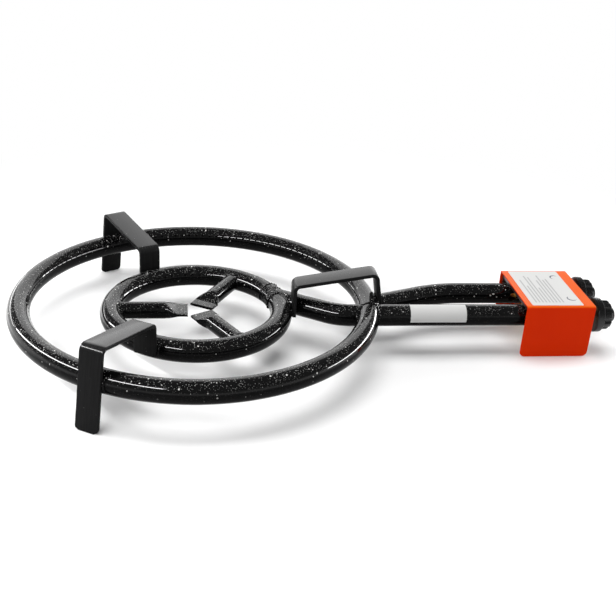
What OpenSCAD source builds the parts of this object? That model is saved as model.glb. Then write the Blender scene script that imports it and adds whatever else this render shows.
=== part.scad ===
// Two-ring gas burner for paella pans: two drilled tube rings, three pinched centre burners,
// two feed tubes that form the handle, three pan supports, and two gas taps under a sheet cover.

/* [Rings] */
// Overall diameter of the outer ring
outer_ring_d = 400; // [370:5:440]
// Overall diameter of the inner ring
inner_ring_d = 209; // [195:1:220]
// Outside diameter of the ring and feed tubes
tube_d = 24; // [22:0.5:25]
// Wall of the ring and feed tubes
tube_wall = 2; // [1.5:0.1:2.5]
// Height of the outer ring's centre line above the ground
ring_h = 45; // [44:1:60]
// How far the inner ring lies below the outer ring
inner_drop = 10.5; // [7:0.5:14]
// Diameter of a gas port
port_d = 2.2; // [1.6:0.1:2.6]
// Spacing of the gas ports along a ring
port_pitch = 9; // [8:0.5:14]
// Angle of the gas ports above level, on the inner side of a ring
port_angle = 25; // [15:5:45]

/* [Centre burners] */
// Outside diameter of a centre burner's tube
spoke_d = 18.5; // [16:0.5:20]
// Wall of a centre burner's tube
spoke_wall = 1.5; // [1:0.1:2]
// Distance from the rings' centre to a burner's tip
spoke_gap = 10; // [8:0.5:14]
// Width of the flattened tip
pinch_w = 27.5; // [22:0.5:30]
// Thickness of the flattened tip
pinch_t = 3.2; // [3:0.1:4]
// Length of the flattened tip
pinch_l = 11; // [8:0.5:14]
// Length over which the tube goes from round to flat
pinch_run = 14; // [10:0.5:18]

/* [Feed tubes] */
// Distance between the two feed tubes' centre lines
handle_spacing = 56; // [54:1:60]
// How far the feed tubes lie below the outer ring's centre line
handle_drop = 3; // [1:0.5:5]
// Distance from the rings' centre to the open ends of the feed tubes
handle_l = 378; // [360:2:420]
// Centre-line radius of the front feed tube's bend
front_bend_r = 40; // [36:1:46]
// Turn of the front feed tube's bend
front_bend_angle = 42; // [40:1:44]
// Straight stretch between the outer ring and the front bend
front_lead = 6; // [4:1:8]
// Centre-line radius of the rear feed tube's bend
rear_bend_r = 150; // [130:5:170]
// Turn of the rear feed tube's bend
rear_bend_angle = 22; // [20:1:24]
// Gap between the two feed tubes where they reach the outer ring
feed_gap = 0.5; // [0.4:0.1:2]
// Diameter of the hole through which a feed tube opens into its ring
feed_port_d = 12; // [9:0.5:13]
// Diameter of the air holes in the ends of the feed tubes
air_hole_d = 10; // [8:0.5:11]

/* [Pan supports] */
// Width of the supports' flat bar
support_w = 25; // [22:0.5:28]
// Thickness of the supports' flat bar
support_t = 4; // [3:0.25:5]
// Inside radius of the supports' bends
support_bend_r = 4; // [3:0.5:6]
// Slope of a support's top towards the centre
support_slope = 9.5; // [8:0.5:11]
// Height of a support's top above the outer ring's axis, along its leg
support_rise = 37.5; // [34:0.5:42]
// How far the inner leg reaches below the inner ring's centre line
support_tail = 3; // [2:0.5:5]
// Corner radius of a foot
foot_corner_r = 4; // [2:0.5:6]

/* [Gas taps] */
// Diameter of a tap's barrel
tap_d = 22; // [21:0.5:24]
// Length of a tap's barrel
tap_l = 30; // [28:1:34]
// Length of the spigot that sits in the feed tube
spigot_l = 8; // [7:0.5:9]
// Diameter of a tap's threaded neck
neck_d = 16; // [15:0.5:17]
// Length of a tap's threaded neck
neck_l = 8; // [7:0.5:10]
// Diameter of the turning plug
plug_d = 12; // [11:0.5:12.5]
// Length of the turning plug
plug_l = 18; // [17:0.5:19]
// Distance from the end of the feed tube to the plug's seat
plug_seat = 6; // [5:0.5:7]
// Diameter of the gas passages
passage_d = 5; // [4:0.25:5.5]
// Diameter of the stem
stem_d = 6; // [5.5:0.25:6.5]
// Width of the stem's square tail
stem_square = 4; // [3.6:0.1:4.2]
// How far the stem's tail reaches into the plug
stem_reach = 6.5; // [6:0.5:7]
// How far a knob pushes in
push_travel = 3; // [2:0.5:3.5]
// Thickness of the collar on the stem
collar_t = 2.3; // [2:0.1:3]
// Wire of the return spring
spring_wire = 0.9; // [0.7:0.1:1]
// Turns of the return spring
spring_turns = 4.5; // [3.5:0.5:5]
// Width across flats of the bonnet nut
bonnet_af = 20; // [19.5:0.5:22]
// Thickness of the bonnet's front wall
bonnet_wall = 4; // [3:0.5:5]
// Width across flats of an injector
injector_af = 10; // [9:0.5:11]
// Length of an injector's hexagon
injector_hex_l = 5; // [4:0.5:6]
// Length of an injector's nose
injector_nose_l = 4; // [3:0.5:5]
// Diameter of an injector's thread
injector_d = 8; // [7.5:0.25:8.5]
// Diameter of the jet
jet_d = 1; // [0.7:0.05:1.3]

/* [Knobs] */
// Diameter of a knob's skirt
knob_d = 39; // [36:1:42]
// Thickness of a knob's skirt
skirt_l = 9; // [7:0.5:10]
// Diameter of a knob's grip
grip_d = 33; // [30:1:34]
// Length of a knob's grip
grip_l = 10; // [8:0.5:12]
// Diameter of the boss on a knob's face
boss_d = 16; // [14:0.5:18]
// Height of the boss on a knob's face
boss_l = 6; // [4:0.5:7]
// Number of flutes round a grip
flute_count = 8; // [6:1:10]
// Diameter of a flute
flute_d = 9; // [7:0.5:10]
// Space between the cover and a knob
knob_stand = 6; // [5:0.5:9]

/* [Gas rail and inlet] */
// Diameter of the gas rail
rail_d = 14; // [13:0.5:15]
// Bore of the gas rail
rail_bore = 9; // [8:0.5:10]
// Height of the feed tubes' centre lines above the rail's
rail_drop = 22; // [21:0.5:23]
// Distance from the end of the feed tubes to the rail's centre line
rail_back = 10; // [9.5:0.25:11]
// How far the rail runs past the front tap
rail_overhang = 10; // [9:0.5:12]
// Diameter of the post that joins a tap to the rail
post_d = 13; // [11:0.5:13.5]
// Thread diameter of the hose inlet
inlet_d = 20; // [18:0.5:21]
// Thread length of the hose inlet
inlet_l = 12; // [10:0.5:15]
// Width across flats of the hose inlet
inlet_af = 24; // [23:0.5:26]
// Thickness of the hose inlet's hexagon
inlet_hex_l = 6; // [5:0.5:8]
// Bore of the hose inlet
inlet_bore = 6; // [5:0.5:6.5]
// Length of the hose inlet's shank inside the rail
shank_l = 12; // [8:1:15]
// Width across flats of the rail's end plug
end_plug_af = 12; // [11:0.5:13]
// Thickness of the end plug's head
end_plug_l = 4; // [3:0.5:5]

/* [Cover] */
// Length of the cover along the handle
cover_l = 79; // [76:1:86]
// Distance from a feed tube's centre line to the side of the cover
cover_side = 21; // [20:0.5:26]
// Height of the cover
cover_h = 62; // [60.5:0.5:66]
// Thickness of the cover's sheet
cover_t = 1.5; // [1:0.25:2]
// Outside radius of the cover's folds
cover_fold_r = 2.5; // [2:0.25:4]
// Radius of the panels' lower corners
cover_corner_r = 6; // [4:0.5:8]
// Length of the feed tubes under the cover
cover_overlap = 20; // [18:1:22]
// Width of the bridge that carries the cover
bridge_w = 14; // [12:0.5:16]
// Sheet of the bridge
bridge_t = 2; // [1.5:0.25:2.5]
// Length of the bridge's rear tab
tab_l = 26; // [24:1:30]
// Shank diameter of a cover screw
screw_d = 4; // [3:0.5:5]
// Head diameter of a cover screw
screw_head_d = 8; // [7:0.5:9]
// Head height of a cover screw
screw_head_l = 2.6; // [2:0.2:3.2]
// Distance between the cover screws
screw_spacing = 11; // [10:0.5:12]
// How far a cover screw reaches past the tab
screw_reach = 2; // [1:0.5:2.5]

/* [Labels] */
// Thickness of the labels
label_t = 0.3; // [0.2:0.05:0.5]
// Margin of the cover label on the feed tube side
label_near = 7; // [5:0.5:9]
// Margin of the cover label on the knob side
label_far = 13; // [10:0.5:16]
// Margin of the cover label at the folds
label_side = 4; // [3:0.5:6]
// Length of the feed tube's label
tube_label_l = 63; // [50:1:75]
// Distance from the rings' centre to the feed tube's label
tube_label_x = 231; // [225:1:245]
// Angle of the feed tube's label round the tube
tube_label_angle = 110; // [90:5:120]
// How far past the tube's top that label starts
tube_label_lean = 5; // [0:1:10]

/* [Hidden] */

// Smoothness of round shapes
$fn = 64;
// How far a cut runs past a face
overrun = 1;
// Radial clearance of a shaft that turns or slides in a hole
fit = 0.05;
// Space between faces that move past each other
clear = 0.3;
// Thickness of the round end that a flattened tip starts from
slice = 0.2;
// How far short of a ring's centre line the feed tubes stop, as a share of their radius
end_trim_share = 0.4;
// Length of the closed lip under the outer ring, as a share of the feed tube's radius
closed_lip_share = 0.25;
// Turn of a gas port about its own axis
port_turn = 45;
// Space beside a gas port, in port diameters
port_margin_share = 2;
// Share of the spigot that holds the injector's thread
injector_thread_share = 0.75;
// Size of an injector's tip as a share of its width, and of its bore as a share of its thread
injector_tip_share = 0.5;
injector_bore_share = 0.5;
// Share of the rail's overhang that the end plug fills
end_plug_share = 0.5;
// Share of the grip that the stem reaches into
stem_grip_share = 0.5;
// Depth of a flute as a share of its diameter
flute_depth_share = 0.25;
// How far a straight stretch of tube reaches into a bend, and how much fuller the bend is
lap = 1;
bend_swell = 0.05;

tube_r = tube_d / 2;
bore_r = tube_r - tube_wall;
end_trim = tube_r * end_trim_share;
closed_lip = tube_r * closed_lip_share;
outer_r = (outer_ring_d - tube_d) / 2;
inner_r = (inner_ring_d - tube_d) / 2;
handle_y = handle_spacing / 2;
FRONT = -1;
REAR = 1;

// Places along the handle, measured from the rings' centre
cover_start = handle_l - cover_overlap;
cover_end = cover_start + cover_l;
cover_w = handle_spacing + cover_side * 2;
spigot_start = handle_l - spigot_l;
injector_start = spigot_start - injector_hex_l;
rail_x = handle_l + rail_back;
plug_start = handle_l + plug_seat + clear;
plug_end = plug_start + plug_l;
barrel_end = handle_l + tap_l;
neck_end = barrel_end + neck_l;
collar_end = neck_end - clear;
collar_start = collar_end - collar_t;
knob_start = cover_end + knob_stand;
grip_start = knob_start + skirt_l;
boss_start = grip_start + grip_l;
knob_end = boss_start + boss_l;
stem_end = grip_start + grip_l * stem_grip_share;

// The part's origin is under the middle of its overall length
ring_x = (outer_ring_d / 2 - knob_end) / 2;

// Distance from p along d to the first crossing of a circle of radius r about the centre
function first_hit(p, d, r) = -(p * d) - sqrt(pow(p * d, 2) - p * p + r * r);

// Front feed tube in plan: straight through the outer ring, one bend, straight to the inner ring
front_bend_x = sqrt(pow(outer_r - tube_r, 2) - pow(handle_y, 2)) - front_lead;
front_bend_side = front_bend_r * (1 - cos(front_bend_angle));
front_run_start = [front_bend_x - front_bend_r * sin(front_bend_angle), front_bend_side - handle_y];
front_run_dir = [-cos(front_bend_angle), sin(front_bend_angle)];
front_reach = first_hit(front_run_start, front_run_dir, inner_r);
front_run = front_reach - end_trim;
front_side = front_bend_side + front_reach * sin(front_bend_angle);
front_tilt = asin((inner_drop - handle_drop) / front_side);

// Rear feed tube in plan: one bend, then straight to the outer ring, just clear of the front tube
rear_land_y = tube_r + tube_r / cos(rear_bend_angle) + feed_gap - handle_y;
rear_land_x = sqrt(pow(outer_ring_d / 2, 2) - pow(rear_land_y, 2));
rear_bend_side = rear_bend_r * (1 - cos(rear_bend_angle));
rear_to_land = (handle_y - rear_bend_side - rear_land_y) / sin(rear_bend_angle);
rear_bend_x = rear_land_x + rear_bend_r * sin(rear_bend_angle) + rear_to_land * cos(rear_bend_angle);
rear_run_start = [rear_bend_x - rear_bend_r * sin(rear_bend_angle), handle_y - rear_bend_side];
rear_run_dir = [-cos(rear_bend_angle), -sin(rear_bend_angle)];
rear_run = first_hit(rear_run_start, rear_run_dir, outer_r) - end_trim;

// Heights, measured from the outer ring's centre line
cover_top = cover_h - ring_h;
bridge_top = cover_top - cover_t;
bridge_bottom = tube_r - handle_drop;
rail_z = -handle_drop - rail_drop;
panel_y = cover_w / 2 - cover_t;

// Angles of the centre burners and the pan supports about the rings' centre
spoke_angles = [180, 60, 300];
support_angles = [240, 120, 0];

// From the rings' centre to the part's own frame
module place() translate([ring_x, 0, ring_h]) children();

// A round bar along X from x0 to x1
module bar_x(x0, x1, r) translate([x0, 0, 0]) rotate([0, 90, 0]) cylinder(r = r, h = x1 - x0);

// A hexagonal bar along X, given its width across flats
module hex_x(x0, x1, af)
    translate([x0, 0, 0]) rotate([0, 90, 0]) cylinder(r = af / sqrt(3), h = x1 - x0, $fn = 6);

module torus(path_r, section_r) rotate_extrude($fn = 144) translate([path_r, 0]) circle(r = section_r);

// One of the two lines that carry a tap and a feed tube
module on_line(side) translate([0, side * handle_y, -handle_drop]) children();

// Rings

function port_count(path_r) = floor(2 * PI * path_r / port_pitch);
function turn_between(a, b) = abs((a - b + 540) % 360 - 180);
function near_any(a, list, reach) = min([for (b = list) turn_between(a, b)]) < reach;

// How far a port stays from a joint
port_margin = port_d * port_margin_share;

// Gas ports on the upper inner side of a ring, left out where something else joins the tube
module ports(path_r, taken, reach) {
    count = port_count(path_r);
    for (i = [0 : count - 1]) {
        a = (i + 0.5) * 360 / count;
        if (!near_any(a, taken, reach))
            rotate(a) translate([path_r, 0, 0]) rotate([0, port_angle - 90, 0])
                rotate(port_turn) cylinder(d = port_d, h = tube_r + overrun, $fn = 24);
    }
}

module outer_ring() color("#141414") place() difference() {
    torus(outer_r, tube_r);
    torus(outer_r, bore_r);
    front_path(tube_r);
    rear_path(feed_port_d / 2);
    crossing = -asin(handle_y / outer_r);
    ports(outer_r, [crossing], asin((tube_r + port_margin) / outer_r));
}

module inner_ring() color("#141414") place() difference() {
    at_inner() torus(inner_r, tube_r);
    at_inner() torus(inner_r, bore_r);
    front_path(feed_port_d / 2);
    at_inner() for (a = spoke_angles) rotate(a) bar_x(round_start, inner_r, spoke_bore_r);
    at_inner() ports(inner_r, spoke_angles, asin((spoke_d / 2 + port_margin) / (inner_r - tube_r)));
}

module at_inner() translate([0, 0, -inner_drop]) children();

// Centre burners

spoke_bore_r = spoke_d / 2 - spoke_wall;
pinch_start = spoke_gap + pinch_l;
round_start = pinch_start + pinch_run;
// Rows of ports along a centre burner, and how far they lean from upright
spoke_port_lean = 40;
spoke_port_count = 4;
spoke_port_run = inner_r - tube_r - round_start - port_margin;

// Round tube that goes over into a flat tongue of width w and thickness t ending at tip
module pinched(r, tip, w, t) {
    bar_x(round_start, inner_r, r);
    hull() {
        bar_x(round_start, round_start + slice, r);
        translate([tip, -w / 2, -t / 2]) cube([pinch_start - tip + slice, w, t]);
    }
}

module spoke(angle) color("#161616") place() at_inner() rotate(angle) difference() {
    pinched(spoke_d / 2, spoke_gap, pinch_w, pinch_t);
    bar_x(round_start, inner_r, spoke_bore_r);
    torus(inner_r, tube_r);
    for (i = [0 : spoke_port_count - 1], lean = [-spoke_port_lean, spoke_port_lean])
        translate([round_start + port_d + spoke_port_run * (i + 0.5) / spoke_port_count, 0, 0])
            rotate([lean, 0, 0]) cylinder(d = port_d, h = spoke_d / 2 + overrun, $fn = 24);
}

module spoke_left() spoke(spoke_angles[0]);
module spoke_rear() spoke(spoke_angles[1]);
module spoke_front() spoke(spoke_angles[2]);

// Feed tubes

// A bend of a round bar about its own centre, a little fuller than the straight stretches it joins
module bend(path_r, r, start, turn) rotate_extrude(angle = turn, start = start)
    translate([path_r, 0]) circle(r = r + bend_swell);

// The front feed tube's path as a round bar, bent in a plane that tilts down to the inner ring
module front_path(r) translate([front_bend_x, -handle_y, -handle_drop]) {
    bar_x(-lap, handle_l - front_bend_x, r);
    rotate([-front_tilt, 0, 0]) {
        translate([0, front_bend_r, 0]) bend(front_bend_r, r, -90 - front_bend_angle, front_bend_angle);
        translate([-front_bend_r * sin(front_bend_angle), front_bend_side, 0])
            rotate(180 - front_bend_angle) bar_x(-lap, front_run, r);
    }
}

// The rear feed tube's path as a round bar, which can stop short at the ring
module rear_path(r, short = 0) translate([rear_bend_x, handle_y, -handle_drop]) {
    bar_x(-lap, handle_l - rear_bend_x, r);
    translate([0, -rear_bend_r, 0]) bend(rear_bend_r, r, 90, rear_bend_angle);
    translate([-rear_bend_r * sin(rear_bend_angle), -rear_bend_side, 0])
        rotate(180 + rear_bend_angle) bar_x(-lap, rear_run - short, r);
}

// Air holes through both sides of a feed tube, beside the injector's nose
module air_holes(side) on_line(side)
    translate([injector_start, -tube_r - overrun, 0])
        rotate([-90, 0, 0]) cylinder(d = air_hole_d, h = tube_d + overrun * 2);

// Opens the end of a feed tube, so that its bore runs out past the end
module open_end(side) on_line(side) bar_x(handle_l - overrun, handle_l + overrun, bore_r);

module inner_feed_tube() color("#161616") place() difference() {
    front_path(tube_r);
    front_path(bore_r);
    open_end(FRONT);
    air_holes(FRONT);
    at_inner() torus(inner_r, tube_r);
}

module outer_feed_tube() color("#161616") place() difference() {
    rear_path(tube_r);
    rear_path(bore_r, closed_lip);
    open_end(REAR);
    air_holes(REAR);
    torus(outer_r, tube_r);
}

// Pan supports

bend_out = support_bend_r + support_t;
// Height of a bend's centre along the leg, and of the inner leg's end
bend_level = support_rise - bend_out;
inner_leg_bottom = -inner_drop - support_tail;
inner_bend = [inner_ring_d / 2 + bend_out,
    (bend_level + (inner_ring_d / 2 + bend_out - outer_r) * sin(support_slope)) / cos(support_slope)];
// Steps in which a bend is drawn
bend_steps = 9;

// Points on an arc about c, from angle a0 to a1
function arc(c, r, a0, a1) = [for (i = [0 : bend_steps])
    let (a = a0 + (a1 - a0) * i / bend_steps) c + r * [cos(a), sin(a)]];

// A point beside the outer ring, where x and y follow the leaning leg
function leaning(p) = [outer_r, 0] + [p[0] * cos(support_slope) - p[1] * sin(support_slope),
    p[0] * sin(support_slope) + p[1] * cos(support_slope)];

outer_bend = leaning([tube_r - support_bend_r, bend_level]);

// Side view of a support: x is the distance from the rings' centre and y the height
module support_section(leg_bottom) difference() {
    leg_end = leg_bottom - support_t;
    polygon(concat(
        [leaning([tube_r + support_t, leg_end])],
        arc(outer_bend, bend_out, support_slope, 90 + support_slope),
        arc(inner_bend, bend_out, 90 + support_slope, 180),
        [[inner_ring_d / 2, inner_leg_bottom], [inner_ring_d / 2 + support_t, inner_leg_bottom]],
        arc(inner_bend, support_bend_r, 180, 90 + support_slope),
        arc(outer_bend, support_bend_r, 90 + support_slope, support_slope),
        [leaning([tube_r, leg_end])]));
    translate([outer_r, leg_bottom - outer_r]) square([outer_r, outer_r]);
}

// Rounds the two corners at the end of a foot
module foot_corners() for (side = [-1, 1])
    translate([outer_r, side * (support_w / 2 - foot_corner_r), foot_corner_r - ring_h]) difference() {
        translate([0, min(side, 0) * (foot_corner_r + overrun), -foot_corner_r - overrun])
            cube([outer_r, foot_corner_r + overrun, foot_corner_r + overrun]);
        translate([-overrun, 0, 0]) bar_x(0, outer_r + overrun * 2, foot_corner_r);
    }

module support(angle, leg_bottom) rotate(angle) rotate([90, 0, 0])
    translate([0, 0, -support_w / 2]) linear_extrude(support_w) support_section(leg_bottom);

module foot_support(angle) color("#1b1b1b") place() difference() {
    support(angle, -ring_h);
    rotate(angle) foot_corners();
}

module support_front_left() foot_support(support_angles[0]);
module support_rear_left() foot_support(support_angles[1]);

// The support over the handle has no foot: its legs are cut to sit on the two feed tubes
module support_handle() color("#1b1b1b") place() difference() {
    support(support_angles[2], 0);
    front_path(tube_r);
    rear_path(tube_r);
}

// Gas rail and inlet

rail_start = -handle_y - rail_overhang;

module along_rail() translate([rail_x, 0, rail_z]) rotate([0, 0, 90]) children();

module gas_rail() color("#b08d3c") place() difference() {
    along_rail() bar_x(rail_start, panel_y, rail_d / 2);
    along_rail() bar_x(rail_start - overrun, panel_y + overrun, rail_bore / 2);
    for (side = [FRONT, REAR]) translate([rail_x, side * handle_y, rail_z])
        cylinder(d = passage_d, h = rail_d);
}

module rail_end_plug() color("#b08d3c") place() along_rail() {
    bar_x(rail_start, rail_start + rail_overhang * end_plug_share, rail_bore / 2);
    hex_x(rail_start - end_plug_l, rail_start, end_plug_af);
}

inlet_hex = cover_w / 2;
inlet_end = inlet_hex + inlet_hex_l + inlet_l;

module hose_inlet() color("#b08d3c") place() along_rail() difference() {
    union() {
        bar_x(panel_y - shank_l, inlet_hex, rail_bore / 2);
        hex_x(inlet_hex, inlet_hex + inlet_hex_l, inlet_af);
        bar_x(inlet_hex + inlet_hex_l, inlet_end, inlet_d / 2);
    }
    bar_x(panel_y - shank_l - overrun, inlet_end + overrun, inlet_bore / 2);
}

// Gas taps

module tap_body(side) color("#b08d3c") place() difference() {
    union() {
        on_line(side) bar_x(spigot_start, handle_l, bore_r);
        on_line(side) bar_x(handle_l, barrel_end, tap_d / 2);
        on_line(side) bar_x(barrel_end, neck_end, neck_d / 2);
        translate([rail_x, side * handle_y, rail_z]) cylinder(d = post_d, h = rail_drop);
    }
    on_line(side) bar_x(plug_start - clear, neck_end + overrun, plug_d / 2 + fit);
    on_line(side) bar_x(spigot_start - overrun, plug_start, passage_d / 2);
    on_line(side) bar_x(spigot_start - overrun, spigot_start + injector_thread_l, injector_d / 2);
    translate([rail_x, side * handle_y, rail_z]) cylinder(d = passage_d, h = rail_drop);
    along_rail() bar_x(rail_start, panel_y, rail_d / 2);
}

injector_thread_l = spigot_l * injector_thread_share;

module injector(side) color("#c9a548") place() on_line(side) difference() {
    union() {
        bar_x(spigot_start, spigot_start + injector_thread_l, injector_d / 2);
        hex_x(injector_start, spigot_start, injector_af);
        translate([injector_start, 0, 0]) rotate([0, -90, 0])
            cylinder(d1 = injector_af, d2 = injector_af * injector_tip_share, h = injector_nose_l);
    }
    bar_x(injector_start - injector_nose_l - overrun, handle_l, jet_d / 2);
    bar_x(injector_start, handle_l, injector_d * injector_bore_share / 2);
}

// The turning plug: its cross hole meets the inlet after a quarter turn
module plug(side) color("#c9a548") place() on_line(side) difference() {
    bar_x(plug_start, plug_end, plug_d / 2);
    bar_x(plug_start - overrun, rail_x + passage_d / 2, passage_d / 2);
    translate([rail_x, 0, 0]) rotate([90, 0, 0]) cylinder(d = passage_d, h = plug_d);
    translate([plug_end - socket_l, -socket_w / 2, -socket_w / 2])
        cube([socket_l + overrun, socket_w, socket_w]);
}

socket_w = stem_square + fit * 2;
socket_l = stem_reach + push_travel + clear;

module stem(side) color("#c8c8c4") place() on_line(side) {
    translate([plug_end - stem_reach, -stem_square / 2, -stem_square / 2])
        cube([stem_reach + push_travel + clear, stem_square, stem_square]);
    bar_x(plug_end + push_travel + clear, stem_end, stem_d / 2);
    bar_x(collar_start, collar_end, plug_d / 2 - clear / 2);
}

// The return spring between plug and collar, one tube along a helix
spring_start = plug_end + clear + spring_wire / 2;
spring_end = collar_start - clear - spring_wire / 2;
spring_r = (plug_d + stem_d) / 4;
spring_sides = 6;
spring_steps = 12;
spring_rings = floor(spring_turns * spring_steps);

function spring_point(i, j) =
    let (a = 360 * i / spring_steps, b = 360 * j / spring_sides, r = spring_r + spring_wire / 2 * cos(b))
    [spring_start + (spring_end - spring_start) * i / spring_rings + spring_wire / 2 * sin(b),
        r * cos(a), r * sin(a)];

module spring(side) color("#9a9a9a") place() on_line(side) {
    points = [for (i = [0 : spring_rings], j = [0 : spring_sides - 1]) spring_point(i, j)];
    sides = [for (i = [0 : spring_rings - 1], j = [0 : spring_sides - 1])
        let (k = (j + 1) % spring_sides, p = i * spring_sides, q = p + spring_sides)
        each [[p + j, q + j, q + k], [p + j, q + k, p + k]]];
    last = spring_rings * spring_sides;
    ends = [for (j = [1 : spring_sides - 2]) each [[0, j, j + 1], [last, last + j + 1, last + j]]];
    polyhedron(points, concat(sides, ends));
}

module bonnet(side) color("#b08d3c") place() on_line(side) difference() {
    hex_x(barrel_end + clear, neck_end + bonnet_wall, bonnet_af);
    bar_x(barrel_end, neck_end, neck_d / 2);
    bar_x(neck_end - overrun, neck_end + bonnet_wall + overrun, stem_d / 2 + fit);
}

// Knobs

module knob(side) color("#121212") place() on_line(side) difference() {
    union() {
        bar_x(knob_start, grip_start, knob_d / 2);
        difference() {
            bar_x(grip_start, boss_start, grip_d / 2);
            for (i = [0 : flute_count - 1]) rotate([i * 360 / flute_count, 0, 0])
                translate([0, 0, (grip_d + flute_d) / 2 - flute_d * flute_depth_share])
                    bar_x(grip_start, boss_start + overrun, flute_d / 2);
        }
        bar_x(boss_start, knob_end, boss_d / 2);
    }
    bar_x(knob_start - overrun, stem_end, stem_d / 2);
}

module front_tap_body() tap_body(FRONT);
module rear_tap_body() tap_body(REAR);
module front_injector() injector(FRONT);
module rear_injector() injector(REAR);
module front_plug() plug(FRONT);
module rear_plug() plug(REAR);
module front_stem() stem(FRONT);
module rear_stem() stem(REAR);
module front_spring() spring(FRONT);
module rear_spring() spring(REAR);
module front_bonnet() bonnet(FRONT);
module rear_bonnet() bonnet(REAR);
module front_knob() knob(FRONT);
module rear_knob() knob(REAR);

// Cover

// A rectangle with its two upper corners rounded, w wide and h high above zero
module arch(w, h, r) {
    translate([-w / 2, 0]) square([w, h - r]);
    translate([r - w / 2, h - r - overrun]) square([w - r * 2, r + overrun]);
    for (s = [-1, 1]) translate([s * (w / 2 - r), h - r]) circle(r = r);
}

module panel_corner(x, dir) translate([x, 0, cover_corner_r]) difference() {
    translate([min(dir, 0) * (cover_corner_r + overrun), -cover_w, -cover_corner_r - overrun])
        cube([cover_corner_r + overrun, cover_w * 2, cover_corner_r + overrun]);
    rotate([90, 0, 0]) translate([0, 0, -cover_w]) cylinder(r = cover_corner_r, h = cover_w * 2);
}

bridge_x = cover_start + (cover_overlap - bridge_w) / 2;
screw_x = bridge_x + bridge_w / 2;
// Heights of the two cover screws, set from the lower end of the bridge's tab
tab_bottom = bridge_top - tab_l;
screw_levels = [tab_bottom + screw_head_d / 2, tab_bottom + screw_head_d / 2 + screw_spacing];

module at_screws() for (z = screw_levels) translate([screw_x, 0, z]) rotate([-90, 0, 0]) children();

module cover() color("#e8641c") place() difference() {
    translate([cover_start, 0, -ring_h]) rotate([90, 0, 90]) linear_extrude(cover_l) difference() {
        arch(cover_w, cover_h, cover_fold_r);
        translate([0, -overrun])
            arch(cover_w - cover_t * 2, cover_h - cover_t + overrun, cover_fold_r - cover_t);
    }
    translate([0, 0, -ring_h]) {
        panel_corner(cover_start + cover_corner_r, -1);
        panel_corner(cover_end - cover_corner_r, 1);
    }
    along_rail() bar_x(panel_y - overrun, inlet_hex + overrun, rail_bore / 2 + clear);
    at_screws() translate([0, 0, panel_y - overrun])
        cylinder(d = screw_d + clear * 2, h = cover_t + overrun * 2);
}

// Channel across both feed tubes with a tab inside the rear panel
module cover_bridge() color("#8d8f90") place() difference() {
    bridge_start = -handle_y - tube_r;
    union() {
        translate([bridge_x, bridge_start, bridge_bottom])
            cube([bridge_w, panel_y - bridge_start, bridge_top - bridge_bottom]);
        translate([bridge_x, panel_y - bridge_t, tab_bottom]) cube([bridge_w, bridge_t, tab_l]);
    }
    translate([bridge_x + bridge_t, bridge_start - overrun, bridge_bottom - overrun])
        cube([bridge_w - bridge_t * 2, panel_y - bridge_t - bridge_start + overrun,
            bridge_top - bridge_bottom - bridge_t + overrun]);
    at_screws() translate([0, 0, panel_y - bridge_t - overrun])
        cylinder(d = screw_d, h = bridge_t + overrun * 2);
}

module cover_screws() color("#a9abad") place() at_screws() {
    tip = panel_y - bridge_t - screw_reach;
    translate([0, 0, tip]) cylinder(d = screw_d, h = cover_w / 2 - tip);
    translate([0, 0, cover_w / 2]) cylinder(d = screw_head_d, h = screw_head_l);
}

// Labels

module cover_label() color("#e9e9e6") place()
    translate([cover_start + label_near, label_side - cover_w / 2, cover_top])
        cube([cover_l - label_near - label_far, cover_w - label_side * 2, label_t]);

// A patch round the upper front of the front feed tube, from just past its top downwards
module tube_label() color("#e9e9e6") place() on_line(FRONT)
    translate([tube_label_x, 0, 0]) rotate([0, 90, 0])
        rotate_extrude(angle = tube_label_angle, start = 180 - tube_label_lean)
            translate([tube_r, 0]) square([label_t, tube_label_l]);

outer_ring();
inner_ring();
spoke_left();
spoke_rear();
spoke_front();
inner_feed_tube();
outer_feed_tube();
support_front_left();
support_rear_left();
support_handle();
gas_rail();
rail_end_plug();
hose_inlet();
front_tap_body();
rear_tap_body();
front_injector();
rear_injector();
front_plug();
rear_plug();
front_stem();
rear_stem();
front_spring();
rear_spring();
front_bonnet();
rear_bonnet();
front_knob();
rear_knob();
cover();
cover_bridge();
cover_screws();
cover_label();
tube_label();
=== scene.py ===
"""A two-ring gas burner for paella pans: black flecked enamel, an orange sheet cover and two knobs."""

import math

import bpy
import numpy as np
from mathutils import Matrix, Vector


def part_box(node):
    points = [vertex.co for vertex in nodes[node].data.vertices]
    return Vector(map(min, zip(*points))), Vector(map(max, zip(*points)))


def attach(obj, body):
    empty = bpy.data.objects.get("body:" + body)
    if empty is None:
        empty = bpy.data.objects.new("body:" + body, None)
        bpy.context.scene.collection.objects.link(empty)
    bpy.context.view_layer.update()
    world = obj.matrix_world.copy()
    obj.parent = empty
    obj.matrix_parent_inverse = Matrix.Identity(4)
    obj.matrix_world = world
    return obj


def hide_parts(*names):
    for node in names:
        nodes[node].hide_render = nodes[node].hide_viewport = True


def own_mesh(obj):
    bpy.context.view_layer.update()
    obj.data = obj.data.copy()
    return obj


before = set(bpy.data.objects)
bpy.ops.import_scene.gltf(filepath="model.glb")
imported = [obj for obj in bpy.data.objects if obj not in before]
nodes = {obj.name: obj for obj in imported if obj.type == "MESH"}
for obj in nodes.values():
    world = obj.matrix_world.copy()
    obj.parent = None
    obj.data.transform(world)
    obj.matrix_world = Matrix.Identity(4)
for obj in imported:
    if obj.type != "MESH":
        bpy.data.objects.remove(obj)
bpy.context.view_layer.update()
MM = 0.001

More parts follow.
